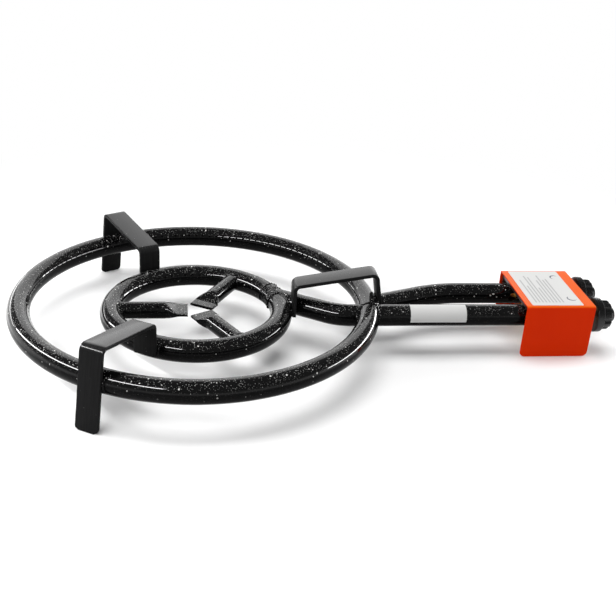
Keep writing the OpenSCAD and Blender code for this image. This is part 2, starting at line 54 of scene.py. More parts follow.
# Rings and feed tubes. Two hoops and two bent pipes of round steel tube, drilled with gas ports,
# welded together and dipped as one in black vitreous enamel that is flecked with white.
low, high = (np.array(corner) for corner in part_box("outer_ring"))
hub = (low + high) / 2
tube_r = (high[2] - low[2]) / 2
outer_r = (high[0] - low[0]) / 2 - tube_r
low, high = (np.array(corner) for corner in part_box("inner_ring"))
inner_r = (high[0] - low[0]) / 2 - tube_r
inner_drop = hub[2] - (low[2] + high[2]) / 2
deep_black, soft_black = (0.0006, 0.0006, 0.0007, 1), (0.0036, 0.0036, 0.0038, 1)
fleck_white = (0.66, 0.66, 0.64, 1)
dot_edge = 14
drifts_per_metre = 38.0
fine_waves, fine_share = 7, 0.35


def node(tree, kind, inputs=(), **settings):
    """One shader node. Each input is a number, a colour or the output of another node."""
    made = tree.nodes.new("ShaderNode" + kind)
    for name, value in settings.items():
        setattr(made, name, value)
    for name, value in dict(inputs).items():
        if isinstance(value, bpy.types.NodeSocket):
            tree.links.new(value, made.inputs[name])
        else:
            made.inputs[name].default_value = value
    return made


def math_node(tree, operation, a, b=0.0, clamp=False):
    """The result of a sum, product or other operation on one or two values."""
    return node(tree, "Math", {0: a, 1: b}, operation=operation, use_clamp=clamp).outputs[0]


def effect(name, inputs, outputs):
    """A node group with number inputs and outputs, and the sockets to wire inside it."""
    tree = bpy.data.node_groups.new(name, "ShaderNodeTree")
    for title, value in inputs.items():
        tree.interface.new_socket(title, in_out="INPUT", socket_type="NodeSocketFloat").default_value = value
    for title in outputs:
        tree.interface.new_socket(title, in_out="OUTPUT", socket_type="NodeSocketFloat")
    return tree, tree.nodes.new("NodeGroupInput").outputs, tree.nodes.new("NodeGroupOutput").inputs


def flecks():
    """White flecks: in drifts, a random part of the cells of a Voronoi pattern hold a dot of random size."""
    tree, given, result = effect("flecks", {"Cells per metre": 400, "Share": 0.5, "Size": 0.3}, ["Mask"])
    place = node(tree, "TexCoord").outputs["Object"]
    cells = node(tree, "TexVoronoi", {"Vector": place, "Scale": given["Cells per metre"]})
    chance = node(tree, "SeparateColor", {"Color": cells.outputs["Color"]}).outputs
    size = math_node(tree, "MULTIPLY", chance["Red"], given["Size"])
    inside = math_node(tree, "SUBTRACT", size, cells.outputs["Distance"])
    dot = math_node(tree, "MULTIPLY", inside, dot_edge, clamp=True)
    drift = node(tree, "TexNoise", {"Vector": place, "Scale": drifts_per_metre, "Detail": 3.0}).outputs["Fac"]
    share = math_node(tree, "MULTIPLY", math_node(tree, "MULTIPLY", drift, 2), given["Share"])
    shown = math_node(tree, "LESS_THAN", chance["Green"], share)
    tree.links.new(math_node(tree, "MULTIPLY", dot, shown), result["Mask"])
    return tree


def peel():
    """The slight waviness of a fired or sprayed coat: two noises, one wide and one fine."""
    tree, given, result = effect("peel", {"Waves per metre": 150}, ["Height", "Tone"])
    place = node(tree, "TexCoord").outputs["Object"]
    wide = node(tree, "TexNoise", {"Vector": place, "Scale": given["Waves per metre"], "Detail": 2.0})
    finer = math_node(tree, "MULTIPLY", given["Waves per metre"], fine_waves)
    fine = node(tree, "TexNoise", {"Vector": place, "Scale": finer, "Detail": 3.0})
    part = math_node(tree, "MULTIPLY", fine.outputs["Fac"], fine_share)
    tree.links.new(math_node(tree, "ADD", wide.outputs["Fac"], part), result["Height"])
    tree.links.new(fine.outputs["Fac"], result["Tone"])
    return tree


FLECKS, PEEL = flecks(), peel()


def finish(name, **values):
    """A new material with its node tree and its Principled shader, whose plain values are given."""
    made = bpy.data.materials.new(name)
    made.use_nodes = True
    shader = made.node_tree.nodes["Principled BSDF"]
    for title, value in values.items():
        shader.inputs[title.replace("_", " ")].default_value = value
    return made, made.node_tree, shader


def wear(tree, group, **inputs):
    """An effect placed in a material, with its values."""
    made = tree.nodes.new("ShaderNodeGroup")
    made.node_tree = group
    for name, value in inputs.items():
        made.inputs[name.replace("_", " ")].default_value = value
    return made.outputs


def blend(tree, factor, a, b):
    """Goes from colour a to colour b with the factor."""
    mix = node(tree, "Mix", {"Factor": factor}, data_type="RGBA")
    for socket, value in ((mix.inputs[6], a), (mix.inputs[7], b)):
        if isinstance(value, bpy.types.NodeSocket):
            tree.links.new(value, socket)
        else:
            socket.default_value = value
    return mix.outputs[2]


def upward(tree, start, end, low, high):
    """Goes from low to high as the surface turns to face up, between two heights of its normal."""
    facing = node(tree, "SeparateXYZ", {0: node(tree, "TexCoord").outputs["Normal"]}).outputs["Z"]
    span = {"Value": facing, "From Min": start, "From Max": end, "To Min": low, "To Max": high}
    return node(tree, "MapRange", span, interpolation_type="SMOOTHSTEP").outputs[0]


def dull(tree, shader, value, low, high, start=0.0, end=1.0):
    """Takes the roughness from low to high as a value goes from start to end."""
    span = {"Value": value, "From Min": start, "From Max": end, "To Min": low, "To Max": high}
    tree.links.new(node(tree, "MapRange", span).outputs[0], shader.inputs["Roughness"])


def relief(tree, shader, height, strength, deep):
    """Lets a height pattern tilt the normal, as a relief of that depth would."""
    bump = node(tree, "Bump", {"Height": height, "Strength": strength, "Distance": deep})
    tree.links.new(bump.outputs[0], shader.inputs["Normal"])


def enamel():
    """Black glass coat, dull below and glossy above. White dust and flecks grow denser as the surface faces
    up: the grey on top is partly dust and partly a painted sheen, and the sparer flecks below are painted
    shade.
    """
    made, tree, shader = finish("enamel_black", Coat_Roughness=0.05, Specular_IOR_Level=0.05)
    dust = wear(tree, FLECKS, Cells_per_metre=760, Share=0.8, Size=0.46)["Mask"]
    fleck = wear(tree, FLECKS, Cells_per_metre=260, Share=0.38, Size=0.28)["Mask"]
    coat = wear(tree, PEEL, Waves_per_metre=160)
    # Painted light: the dust whitens what faces up as a painted sheen, and the flecks thin out downward as
    # painted shade.
    top_dust_and_sheen = math_node(tree, "MULTIPLY", dust, upward(tree, 0.3, 0.95, 0.02, 0.3))
    flecks_thinned_by_shade = math_node(tree, "MULTIPLY", fleck, upward(tree, -0.4, 0.5, 0.04, 0.9))
    white = math_node(tree, "MAXIMUM", top_dust_and_sheen, flecks_thinned_by_shade)
    black = blend(tree, coat["Tone"], deep_black, soft_black)
    tree.links.new(blend(tree, white, black, fleck_white), shader.inputs["Base Color"])
    tree.links.new(upward(tree, 0.18, 0.48, 0.0, 1.0), shader.inputs["Coat Weight"])
    dull(tree, shader, coat["Tone"], 0.07, 0.19)
    grain = math_node(tree, "MULTIPLY", coat["Tone"], upward(tree, 0.5, 0.95, 0.0, 2.6))
    relief(tree, shader, math_node(tree, "ADD", coat["Height"], grain), 0.1, 0.5 * MM)
    return made


ENAMEL = enamel()


def dress(material, *names):
    """Gives CAD solids that stay in view their finish."""
    for name in names:
        nodes[name].material_slots[0].material = material


dress(ENAMEL, "outer_ring", "inner_ring", "inner_feed_tube", "outer_feed_tube")

# Centre burners. Three short lengths of thinner tube, drilled on both upper sides, whose open end is
# pinched flat so that it fans out into a tongue with a thin slit. They are welded into the inner ring.
spoke_r = 9.25 * MM
spoke_gap = 10 * MM
spoke_sunk = 0.6
tongue_half = 13.75 * MM
tongue_t = 1.6 * MM
tongue_l = 11 * MM
tongue_square = 5
pinch_run = 14 * MM
pinch_soft = 0.35
slit_half = 0.25 * MM
slit_deep = 5 * MM
slit_inset = 1.2 * MM
port_r = 1.1 * MM
port_count = 4
port_leans = (50, 130)
port_deep = 0.35
port_rim, port_edge = 0.2 * MM, 0.4 * MM
burner_headings = {"left": 180, "rear": 60, "front": 300}


def skin(name, grid, caps=True, loop=False, ends=None, angle=40):
    """A mesh over a grid of points whose columns close round, and with loop its rows too. Extra end faces
    follow the columns' order. Its UVs are in metres: along, then round."""
    rows, cols = grid.shape[:2]
    spans = rows if loop else rows - 1
    i, j = (a.ravel() for a in np.meshgrid(np.arange(spans), np.arange(cols), indexing="ij"))
    k, n = (j + 1) % cols, (i + 1) % rows
    quads = np.stack([i * cols + j, i * cols + k, n * cols + k, n * cols + j], axis=1)
    points = grid.reshape(-1, 3)
    a, b, c, d = (points[quads[:, q]] - points.mean(axis=0) for q in range(4))
    volume = np.sum(np.cross(b - a, c - a) * a) + np.sum(np.cross(c - a, d - a) * a)
    faces = quads.tolist() + ([] if ends is None else ends)
    if caps and not loop:
        faces += [list(range(cols))[::-1], list(range((rows - 1) * cols, rows * cols))]
    if volume < 0:
        faces = [face[::-1] for face in faces]
    mesh = bpy.data.meshes.new(name)
    mesh.from_pydata(points, [], faces)
    steps = np.linalg.norm(np.diff(grid.mean(axis=1), axis=0), axis=1)
    along = np.concatenate([[0], np.cumsum(steps)])
    along = np.append(along, along[-1] * rows / max(rows - 1, 1))
    steps = np.linalg.norm(np.diff(grid[0], axis=0, append=grid[0][:1]), axis=1)
    around = np.concatenate([[0], np.cumsum(steps)])
    corner = np.stack([np.stack([along[i + p], around[j + q]], axis=1)
                       for p, q in ((0, 0), (0, 1), (1, 1), (1, 0))], axis=1)
    uv = np.zeros((len(mesh.loops), 2))
    uv[:quads.size] = (corner[:, ::-1] if volume < 0 else corner).reshape(-1, 2)
    mesh.uv_layers.new(name="length").data.foreach_set("uv", uv.ravel())
    mesh.validate()
    mesh.shade_smooth()
    mesh.set_sharp_from_angle(angle=math.radians(angle))
    return mesh


def piece(mesh, material, body, slot, *stands_for):
    """Puts a mesh into the scene as a piece of that body, with its finish."""
    made = bpy.data.objects.new(mesh.name, mesh)
    bpy.context.scene.collection.objects.link(made)
    mesh.materials.append(material)
    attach(made, body)
    if stands_for:
        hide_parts(*stands_for)
    return made


def turned(points, angle, drop=0.0):
    """Points given from the rings' centre, turned about its axis and put in the part's frame."""
    c, s = math.cos(angle), math.sin(angle)
    x, y, z = np.moveaxis(points, -1, 0)
    return np.stack([x * c - y * s, x * s + y * c, z - drop], axis=-1) + hub


def ease(t):
    """Runs from 0 to 1 with level ends."""
    t = np.clip(t, 0, 1)
    return t * t * (3 - 2 * t)


def pinched_tube():
    """Each cross-section is a superellipse. Along the tube it goes from a circle to a wide flat tongue, with
    a crease where the flat begins. Ports are round pits where the skin drops towards the axis."""
    far, flat_end = inner_r - spoke_sunk * tube_r, spoke_gap + tongue_l
    round_end = flat_end + pinch_run
    x = np.concatenate([np.linspace(far, round_end, 120), np.linspace(round_end, flat_end, 30)[1:],
                        np.linspace(flat_end, spoke_gap, 12)[1:]])
    run = np.clip((round_end - x) / pinch_run, 0, 1)
    flat = pinch_soft * ease(run) + (1 - pinch_soft) * run
    wide = spoke_r + (tongue_half - spoke_r) * ease(run)
    thick = spoke_r + (tongue_t - spoke_r) * flat
    power = 2 / (2 + tongue_square * ease(run))
    turn = np.linspace(0, 2 * np.pi, 144, endpoint=False)
    c, s = np.cos(turn), np.sin(turn)
    y = wide[:, None] * np.sign(c) * np.abs(c) ** power[:, None]
    z = thick[:, None] * np.sign(s) * np.abs(s) ** power[:, None]
    drilled = inner_r - tube_r - round_end - 4 * port_r
    along = round_end + 2 * port_r + drilled * (np.arange(port_count) + 0.5) / port_count
    for lean in np.radians(port_leans):
        away = np.hypot(x[:, None, None] - along, spoke_r * (turn[None, :, None] - lean)).min(axis=2)
        sunk = 1 - port_deep * ease((port_r + port_rim - away) / port_edge)
        y, z = y * sunk, z * sunk
    tube = np.stack([np.broadcast_to(x[:, None], y.shape), y, z], axis=-1)
    mouth = tube[-1] * [1, 1 - slit_inset / tongue_half, slit_half / tongue_t]
    return np.concatenate([tube, mouth[None], mouth[None] + [slit_deep, 0, 0]])


for title, heading in burner_headings.items():
    points = turned(pinched_tube(), math.radians(heading), inner_drop)
    piece(skin(f"centre_burner_{title}", points), ENAMEL, "burner", "enamel_black", f"spoke_{title}")

# Pan supports. Three flat bars bent to a U that stand on both rings and slope down to the middle.
# The two on the left run on below the outer ring as feet. Bent cold, welded on and coated satin black.
bar_w = 25 * MM
bar_t = 4 * MM
bar_edge = 0.7 * MM
bend_r = 4 * MM
slope = math.radians(9.5)
rise = 37.5 * MM
tail = 3 * MM
foot_r = 4 * MM
handle_leg_end = -2 * MM
support_headings = {"front_left": 240, "rear_left": 120, "handle": 0}
streak_scale = (35, 900, 1)
satin_dark, satin_pale, satin_fleck = (0.004, 0.004, 0.004, 1), (0.016, 0.016, 0.0165, 1), (0.5, 0.5, 0.5, 1)


def arc(centre, radius, start, end, count):
    """Points on an arc between two angles in degrees."""
    turn = np.radians(np.linspace(start, end, count))
    return np.stack([centre[0] + radius * np.cos(turn), centre[1] + radius * np.sin(turn)], axis=-1)


def line(a, b, count):
    """Points on a line, without its first point."""
    return np.linspace(a, b, count + 1)[1:]


def bar_path(foot):
    """Side view of a bar's middle line: up the outer leg, round, down the top, round, down the inner leg."""
    lean = np.array([[math.cos(slope), math.sin(slope)], [-math.sin(slope), math.cos(slope)]])
    mid = bend_r + bar_t / 2
    level = rise - bend_r - bar_t
    outer = np.array([tube_r - bend_r, level]) @ lean + [outer_r, 0]
    inner_x = inner_r + tube_r + bend_r + bar_t
    inner = np.array([inner_x, (level + (inner_x - outer_r) * math.sin(slope)) / math.cos(slope)])
    leg = outer + [mid * math.cos(slope), mid * math.sin(slope)]
    start = leg + (leg[1] - foot) / math.cos(slope) * np.array([math.sin(slope), -math.cos(slope)])
    angle = math.degrees(slope)
    near, far = arc(outer, mid, angle, 90 + angle, 13), arc(inner, mid, 90 + angle, 180, 13)
    end = np.array([inner_x - mid, -inner_drop - tail])
    return np.concatenate([[start], line(start, near[0], 40), near[1:], line(near[-1], far[0], 24),
                           far[1:], line(far[-1], end, 12)])


def rounded_rectangle(width, height, radius, count=5):
    """Outline of a rectangle with its corners as quarter circles."""
    w, h = width / 2 - radius, height / 2 - radius
    return np.concatenate([arc((sx * w, sy * h), radius, a, a + 90, count)
                           for sx, sy, a in ((1, 1, 0), (-1, 1, 90), (-1, -1, 180), (1, -1, 270))])


def flat_bar(foot, rounded):
    """Carries the bar's rounded section along its path, square to it. A foot's end lies level and narrows."""
    path = bar_path(foot)
    run = np.gradient(path, axis=0)
    run /= np.linalg.norm(run, axis=1)[:, None]
    section = rounded_rectangle(bar_w, bar_t, bar_edge)
    across = np.broadcast_to(section[:, 0], (len(path), len(section))).copy()
    r = path[:, 0, None] - run[:, 1, None] * section[:, 1]
    z = path[:, 1, None] + run[:, 0, None] * section[:, 1]
    if rounded:
        left = np.linalg.norm(path - path[0], axis=1)
        inset = foot_r - np.sqrt(foot_r ** 2 - np.clip(foot_r - left, 0, foot_r) ** 2)
        across *= (1 - np.minimum(inset, foot_r * 0.98) / (bar_w / 2))[:, None]
        lift = (foot - z[0]) / run[0, 1]
        fade = np.clip(1 - left / (3 * foot_r), 0, 1)[:, None]
        r += fade * lift * run[0, 0]
        z += fade * lift * run[0, 1]
    return np.stack([r, across, z], axis=-1)


def satin_black():
    """Thin satin black coat, glossier on top: streaks along the bar, a dusting of flecks."""
    made, tree, shader = finish("support_black", Coat_Roughness=0.13, Specular_IOR_Level=0.05)
    stretched = node(tree, "Mapping", {"Vector": node(tree, "UVMap").outputs[0], "Scale": streak_scale})
    streaks = {"Vector": stretched.outputs[0], "Scale": 1.0, "Detail": 4.0}
    streak = node(tree, "TexNoise", streaks).outputs["Fac"]
    fleck = wear(tree, FLECKS, Cells_per_metre=420, Share=0.16, Size=0.22)["Mask"]
    coat = wear(tree, PEEL, Waves_per_metre=220)
    black = blend(tree, streak, satin_dark, satin_pale)
    flecked = blend(tree, math_node(tree, "MULTIPLY", fleck, 0.25), black, satin_fleck)
    tree.links.new(flecked, shader.inputs["Base Color"])
    tree.links.new(upward(tree, 0.3, 0.9, 0.0, 1.0), shader.inputs["Coat Weight"])
    dull(tree, shader, streak, 0.28, 0.44, start=0.3, end=0.7)
    relief(tree, shader, math_node(tree, "ADD", coat["Height"], streak), 0.2, 0.2 * MM)
    return made


SATIN = satin_black()
for title, heading in support_headings.items():
    stands = title != "handle"
    points = turned(flat_bar(-hub[2] if stands else handle_leg_end, stands), math.radians(heading))
    piece(skin(f"bar_{title}", points), SATIN, "burner", "support_black", f"support_{title}")

# Welds. Beads of steel laid by hand round every tube joint, across the tops of the rings and beside the
# supports' legs, in small pools that overlap. They were dipped in the same enamel as the tubes.
bead_r, thin_bead_r, leg_bead_r = 1.5 * MM, 1.1 * MM, 1.7 * MM
bead_step = 0.7 * MM
pool, pool_swell = 3.4 * MM, 0.16
size_drift, place_drift, lump_drift = 0.22, 0.3, 0.1
seam_out = 0.4 * MM
handle_y = 28 * MM
handle_z = -3 * MM
rear_run = np.array([-math.cos(math.radians(22)), -math.sin(math.radians(22)), 0])
rear_land = np.array([199.98 * MM, -2.56 * MM, handle_z])
front_run = np.array([-0.7431, 0.6636, -0.0856])
front_end = np.array([87.28 * MM, 30.15 * MM, -inner_drop])
front_outside, front_inside = (240 * MM, -handle_y, handle_z), (140 * MM, -handle_y, handle_z)
rear_start, feed_start = rear_land - 40 * MM * rear_run, front_end - 50 * MM * front_run
burner_start_r = 45 * MM
walk_l = 70 * MM
feed_angle = math.atan2(front_end[1], front_end[0])
feed_bead_turn = 0.135
outer_bead_span, feed_bead_span = (-50, 215), (-40, 210)
crossing = np.array([math.sqrt(outer_r ** 2 - handle_y ** 2), -handle_y, 0])
down = np.array([0, 0, -inner_drop])
outer_leg_z, inner_leg_z = np.linspace(-6, 8, 24) * MM, np.linspace(-2, 7, 18) * MM
outer_leg_in, inner_leg_in = 0.97, 0.95
collar_half, collar_span = 0.13, np.radians((-20, 200))
collar_full, collar_lump, collar_sunk = 0.6 * MM, 0.5 * MM, 1 * MM


def wander(count, step, rng):
    """A smooth random line between -1 and 1, with a new value every few steps."""
    knots = rng.uniform(-1, 1, count // step + 2)
    return np.interp(np.arange(count) / step, np.arange(knots.size), knots)


def joint_seam(foot, run, radius, ring_r, drop=0.0):
    """Each line along a tube's skin runs on until it is inside the ring's torus. A line that passes by stops
    where it comes nearest."""
    run = np.array(run) / np.linalg.norm(run)
    side = np.cross(run, [0, 0, 1]) / np.linalg.norm(np.cross(run, [0, 0, 1]))
    turn = np.linspace(0, 2 * np.pi, 96, endpoint=False)[:, None]
    start = np.array(foot) + radius * (np.cos(turn) * side + np.sin(turn) * np.cross(side, run))
    walk = start[:, None] + np.linspace(0, walk_l, 900)[:, None] * run
    gap = np.hypot(np.hypot(walk[..., 0], walk[..., 1]) - ring_r, walk[..., 2] + drop) - tube_r
    stop = np.where((gap <= 0).any(axis=1), (gap <= 0).argmax(axis=1), gap.argmin(axis=1))
    return walk[np.arange(len(turn)), stop]


def across_ring(ring_r, drop, start, end, y=None, angle=0.0):
    """A line over a ring's tube, between two angles round its section: square across it, or along X."""
    turn = np.radians(np.linspace(start, end, 60))
    r, z = ring_r + tube_r * np.cos(turn), tube_r * np.sin(turn) - drop
    if y is not None:
        return np.stack([np.sqrt(r ** 2 - y ** 2), np.full(r.size, y), z], axis=1)
    return np.stack([r * math.cos(angle), r * math.sin(angle), z], axis=1)


def leg_seam(ring_r, drop, z, heading, edge):
    """A line up the outside of a ring's torus, beside one edge of a support's leg."""
    aside = edge * (bar_w / 2 + seam_out)
    r = np.sqrt((ring_r + np.sqrt(tube_r ** 2 - z ** 2)) ** 2 - (bar_w / 2) ** 2) + seam_out
    return turned(np.stack([r, np.full(z.size, aside), z - drop], axis=1), math.radians(heading)) - hub


def bead(path, centre, radius, rng, closed=True):
    """A round bar along a path about a centre. It swells once a pool, and wanders in size and place."""
    if closed:
        path = np.concatenate([path, path[:1]])
    far = np.concatenate([[0], np.cumsum(np.linalg.norm(np.diff(path, axis=0), axis=1))])
    count = max(int(far[-1] / bead_step), 12)
    s = np.linspace(0, far[-1], count, endpoint=not closed)
    path = np.stack([np.interp(s, far, axis) for axis in path.T], axis=1)
    run = (np.roll(path, -1, axis=0) - np.roll(path, 1, axis=0)) if closed else np.gradient(path, axis=0)
    run /= np.linalg.norm(run, axis=1)[:, None]
    out = path - centre
    out -= np.sum(out * run, axis=1)[:, None] * run
    out /= np.linalg.norm(out, axis=1)[:, None]
    side = np.cross(run, out)
    turn = np.linspace(0, 2 * np.pi, 12, endpoint=False)
    size = radius * (1 + pool_swell * np.cos(2 * np.pi * s / pool) + size_drift * wander(count, 5, rng))
    if not closed:
        size = size * np.sqrt(np.clip(np.minimum(s, far[-1] - s) / radius, 0.02, 1))
    path = path + (place_drift * radius * wander(count, 4, rng))[:, None] * side
    lump = 1 + lump_drift * np.stack([wander(count, 2, rng) for _ in turn], axis=1)
    ring = np.cos(turn)[None, :, None] * out[:, None] + np.sin(turn)[None, :, None] * side[:, None]
    return path[:, None] + (size[:, None] * lump)[..., None] * ring


def rough_collar(rng):
    """A sleeve of weld over the inner ring at the feed joint: the ring's torus, a little fuller and lumpy."""
    around = np.linspace(*collar_span, 60)
    along = np.linspace(-collar_half, collar_half, 40)
    lump = np.stack([wander(around.size, 3, rng) for _ in along])
    lump = (lump + np.roll(lump, 1, axis=0)) / 2
    size = tube_r + collar_full + collar_lump * lump
    size = np.concatenate([size, np.full(lump.shape, tube_r - collar_sunk)], axis=1)
    t = np.concatenate([around, around[::-1]])[None, :]
    a = feed_angle + along[:, None]
    r = inner_r + size * np.cos(t)
    return np.stack([r * np.cos(a), r * np.sin(a), size * np.sin(t) - inner_drop], axis=-1) + hub


rng = np.random.default_rng(7)
seams = {
    "front_tube_outside": (joint_seam(front_outside, (-1, 0, 0), tube_r, outer_r), crossing, bead_r, True),
    "front_tube_inside": (joint_seam(front_inside, (1, 0, 0), tube_r, outer_r), crossing, bead_r, True),
    "rear_tube": (joint_seam(rear_start, rear_run, tube_r, outer_r), rear_land, bead_r, True),
    "feed_joint": (joint_seam(feed_start, front_run, tube_r, inner_r, inner_drop), front_end, bead_r, True),
    "outer_ring_top": (across_ring(outer_r, 0, *outer_bead_span, y=-handle_y), crossing, thin_bead_r, False),
}
for title, angle in (("feed_near", feed_angle - feed_bead_turn), ("feed_far", feed_angle + feed_bead_turn)):
    about = np.array([inner_r * math.cos(angle), inner_r * math.sin(angle), -inner_drop])
    seams[title] = (across_ring(inner_r, inner_drop, *feed_bead_span, angle=angle), about, bead_r, False)
for title, heading in burner_headings.items():
    way = np.array([math.cos(math.radians(heading)), math.sin(math.radians(heading)), 0])
    seams[f"burner_{title}"] = (joint_seam(burner_start_r * way + down, way, spoke_r, inner_r, inner_drop),
                                (inner_r - tube_r) * way + down, thin_bead_r, True)
for title in ("front_left", "rear_left"):
    for edge in (-1, 1):
        path = leg_seam(outer_r, 0, outer_leg_z, support_headings[title], edge)
        seams[f"leg_{title}_{edge + 1}"] = (path, path.mean(axis=0) * outer_leg_in, leg_bead_r, False)
for title, heading in support_headings.items():
    for edge in (-1, 1):
        path = leg_seam(inner_r, inner_drop, inner_leg_z, heading, edge)
        seams[f"tail_{title}_{edge + 1}"] = (path, path.mean(axis=0) * inner_leg_in, bead_r, False)
for title, (path, centre, radius, closed) in seams.items():
    mesh = skin(f"weld_{title}", bead(path, centre, radius, rng, closed) + hub, loop=closed, angle=80)
    piece(mesh, ENAMEL, "burner", "enamel_black")
piece(skin("weld_collar", rough_collar(rng), angle=70), ENAMEL, "burner", "enamel_black")

# Cover. One piece of sheet steel folded over the taps, open at both ends and below, sprayed orange.
# Two screws on the rear panel hold it to a bridge on the feed tubes.
sheet_t = 1.5 * MM
sheet_edge = 0.35 * MM
fold_r = 2.5 * MM
panel_r = 6 * MM
cover_low, cover_high = (np.array(corner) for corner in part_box("cover"))
orange_deep, orange_bright = (0.76, 0.027, 0.001, 1), (0.84, 0.036, 0.001, 1)
# The paler orange is painted light for the top of the cover.
orange_painted_light_top = (0.80, 0.108, 0.005, 1)


def folded_sheet():
    """A U-shaped section with rounded folds, drawn along the handle. Near the ground both ends curve in."""
    half, top = (cover_high[1] - cover_low[1]) / 2, cover_high[2]
    bend = panel_r * (1 - np.cos(np.linspace(np.pi / 8, np.pi / 2, 8)))
    z = np.concatenate([[0], bend, line(panel_r, top - fold_r, 8)])
    outside = np.concatenate([np.stack([np.full(z.size, half), z], axis=1)[:-1],
                              arc((half - fold_r, top - fold_r), fold_r, 0, 90, 9)])
    outside = np.concatenate([outside, line(outside[-1], [0, top], 6)])
    normal = np.concatenate([np.tile([1.0, 0.0], (z.size - 1, 1)), arc((0, 0), 1, 0, 90, 9),
                             np.tile([0.0, 1.0], (6, 1))])
    inside = outside - sheet_t * normal
    outer = np.concatenate([outside, outside[-2::-1] * [-1, 1]])
    inner = np.concatenate([inside, inside[-2::-1] * [-1, 1]])
    loop = np.concatenate([outer, inner[::-1]])
    height = np.clip(panel_r - loop[:, 1], 0, panel_r)
    draw = panel_r - np.sqrt(np.maximum(panel_r ** 2 - height ** 2, 0))
    x = (cover_low[0] + draw) + np.linspace(0, 1, 13)[:, None] * (cover_high[0] - cover_low[0] - 2 * draw)
    return np.stack([x, np.broadcast_to(loop[:, 0], x.shape), np.broadcast_to(loop[:, 1], x.shape)], axis=-1)


def end_rims(rows, cols):
    """Quads that close the sheet's thickness at both ends, from the outer half of the loop to the inner."""
    near = np.arange(cols // 2 - 1)
    strip = np.stack([near, near + 1, cols - 2 - near, cols - 1 - near], axis=1)
    return strip[:, ::-1].tolist() + (strip + (rows - 1) * cols).tolist()


def orange_paint():
    """Smooth sprayed coat with a trace of orange peel, glossier on top. What faces up is painted paler, as
    painted light.
    """
    made, tree, shader = finish("cover_orange", Coat_Roughness=0.2, Specular_IOR_Level=0.05)
    coat = wear(tree, PEEL, Waves_per_metre=420)
    place = node(tree, "TexCoord").outputs["Object"]
    broad = node(tree, "TexNoise", {"Vector": place, "Scale": 22.0, "Detail": 3.0}).outputs["Fac"]
    deep = blend(tree, broad, orange_deep, orange_bright)
    # Painted light: what faces up is blended towards a paler orange, as if lit from above.
    tone = blend(tree, upward(tree, 0.3, 0.95, 0.0, 1.0), deep, orange_painted_light_top)
    tree.links.new(tone, shader.inputs["Base Color"])
    tree.links.new(upward(tree, 0.2, 0.9, 0.0, 0.3), shader.inputs["Coat Weight"])
    dull(tree, shader, coat["Tone"], 0.26, 0.40)
    relief(tree, shader, coat["Height"], 0.12, 0.15 * MM)
    return made


ORANGE = orange_paint()
sheet = folded_sheet()
mesh = skin("sheet_cover", sheet, caps=False, ends=end_rims(*sheet.shape[:2]))
cover = piece(mesh, ORANGE, "burner", "cover_orange", "cover")
rim = cover.modifiers.new("soft_edges", "BEVEL")
rim.width = sheet_edge
rim.segments = 2
rim.limit_method = "ANGLE"
rim.angle_limit = math.radians(40)

# Knobs. Moulded black plastic with a flat skirt, a fluted grip and a centre cap, pushed on the stems.
# Each rides on its own stem, turns with the tap and springs back when it is pushed.
grip_r = 16.5 * MM
grip_start, grip_end = 9.3 * MM, 18.9 * MM
flute_r, flute_in, flute_count = 4.5 * MM, 2.25 * MM, 8
face_x, face_r = 19 * MM, 14 * MM
index_half, index_h, index_in = 1.2 * MM, 0.9 * MM, 10.5 * MM
plastic_dark, plastic_pale = (0.002, 0.002, 0.0022, 1), (0.008, 0.008, 0.0085, 1)
index_pale = (0.55, 0.55, 0.53, 1)


def fluted_knob(side):
    """A turned outline. Over the grip, round flutes cut into it: the least of the grip and the flutes' arcs.
    On the end face, an index rib stands up at the top."""
    low, high = (np.array(corner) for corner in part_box(f"{side}_knob"))
    outline = np.array([
        (0, 3.4), (0, 17.6), (0.5, 18.8), (1.5, 19.5), (6.3, 19.5), (7.9, 19.2), (8.7, 18.4), (9.0, 17.2),
        (9.1, 16.9), (9.5, 16.5), (10.2, 16.5), (13.5, 16.4), (16.8, 16.3), (18.2, 15.9), (18.8, 15.2),
        (19.0, 14.2), (19.0, 13.6), (19.0, 11), (19.0, 9.4), (19.3, 8.5), (20.0, 8.1), (23.6, 7.9),
        (24.6, 7.4), (25.0, 6.4), (25.0, 3.0), (25.0, 0.05)]) * MM
    x, r = outline.T
    turn = np.linspace(0, 2 * np.pi, 192, endpoint=False)
    offset = (turn + np.pi / flute_count) % (2 * np.pi / flute_count) - np.pi / flute_count
    away = grip_r + flute_r - flute_in
    reach = np.maximum(flute_r ** 2 - (away * np.sin(offset)) ** 2, 0)
    flute = np.where(reach > 0, away * np.cos(offset) - np.sqrt(reach), grip_r)
    grip = ((x > grip_start) & (x < grip_end))[:, None]
    radius = np.where(grip, np.minimum(r[:, None], flute), r[:, None])
    y0, z0 = (low[1] + high[1]) / 2, (low[2] + high[2]) / 2
    face = (x == face_x)[:, None] & (r < face_r)[:, None]
    rib = index_h * face * ease((index_half - np.abs(radius * (turn - np.pi / 2))) / (0.5 * index_half))
    return np.stack([low[0] + x[:, None] + rib, y0 + radius * np.cos(turn),
                     z0 + radius * np.sin(turn)], axis=-1)


def all_of(tree, first, *others):
    """A mask that is 1 only where every mask given is 1: their product."""
    for other in others:
        first = math_node(tree, "MULTIPLY", first, other)
    return first


